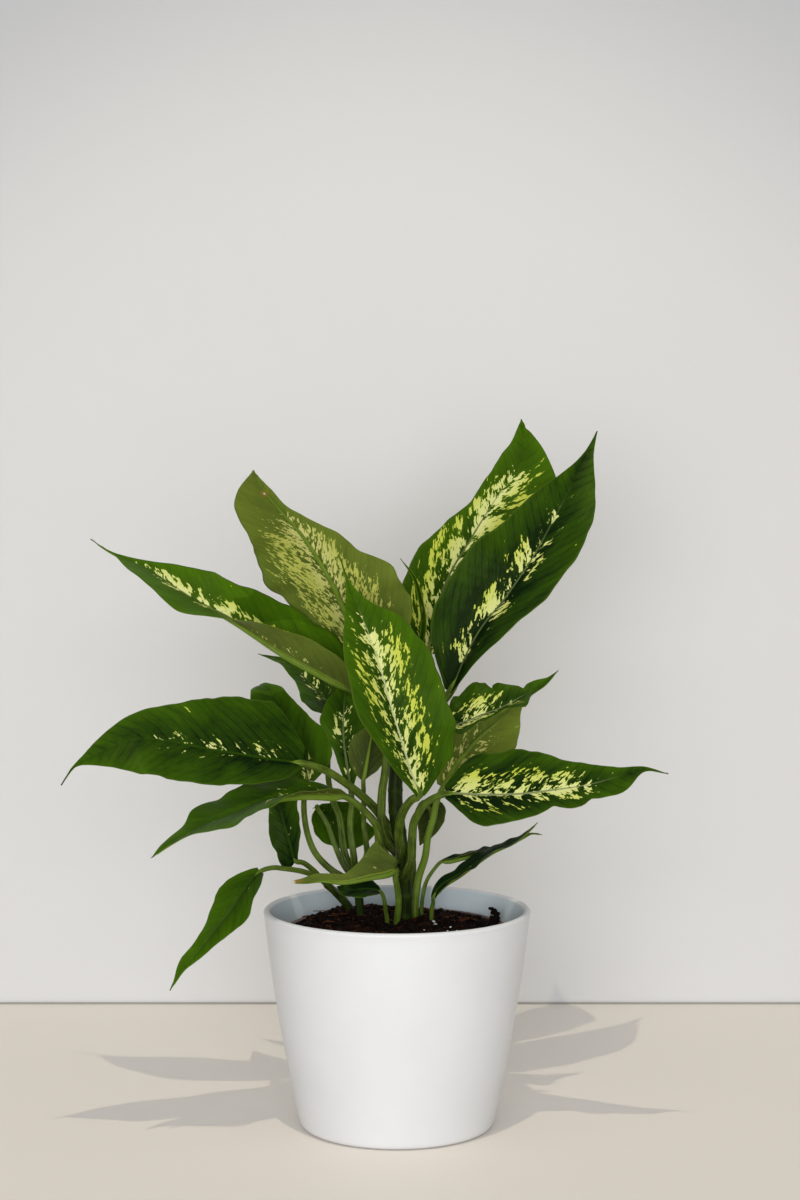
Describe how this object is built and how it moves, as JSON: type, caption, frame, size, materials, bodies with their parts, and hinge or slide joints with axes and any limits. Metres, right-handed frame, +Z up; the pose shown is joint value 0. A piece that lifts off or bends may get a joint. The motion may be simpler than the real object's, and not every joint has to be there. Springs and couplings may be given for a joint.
{
  "type": "potted dieffenbachia",
  "caption": "Potted dieffenbachia: variegated leaves on short stems, in soil in a plastic grow pot that stands in a round tapered cover pot with a flat base.",
  "frame": {"origin": "middle of the cover pot's flat underside", "axes": "+Z up along the pot's axis, -Y towards the front of the plant, +X to the right seen from the front"},
  "size_m": [0.3456, 0.1636, 0.4252],
  "materials": {
    "pot_glaze": "white matt glazed earthenware",
    "pot_plastic": "red-brown thin polypropylene",
    "soil": "dark damp peat potting soil",
    "stem": "smooth green plant stem",
    "leaf": "waxy green leaf with cream variegation"
  },
  "bodies": {
    "root": {"cover_pot": "pot_glaze", "grow_pot": "pot_plastic", "soil": "soil", "stem_main": "stem", "stem_left": "stem", "stem_side": "stem", "leaf_top_back": "leaf", "leaf_top_right": "leaf", "leaf_top_left": "leaf", "leaf_far_left": "leaf", "leaf_front": "leaf", "leaf_left_small": "leaf", "leaf_left_large": "leaf", "leaf_left_behind": "leaf", "leaf_left_low": "leaf", "leaf_left_hanging": "leaf", "leaf_drooping": "leaf", "leaf_folded_pale": "leaf", "leaf_folded_dark": "leaf", "leaf_mid_left": "leaf", "leaf_mid_inner": "leaf", "leaf_right_small": "leaf", "leaf_right_back": "leaf", "leaf_right_large": "leaf", "leaf_right_twisted": "leaf", "leaf_right_narrow": "leaf", "leaf_back_left": "leaf", "leaf_back_hanging": "leaf", "leaf_new_rolled": "leaf"}
  },
  "joints": []
}
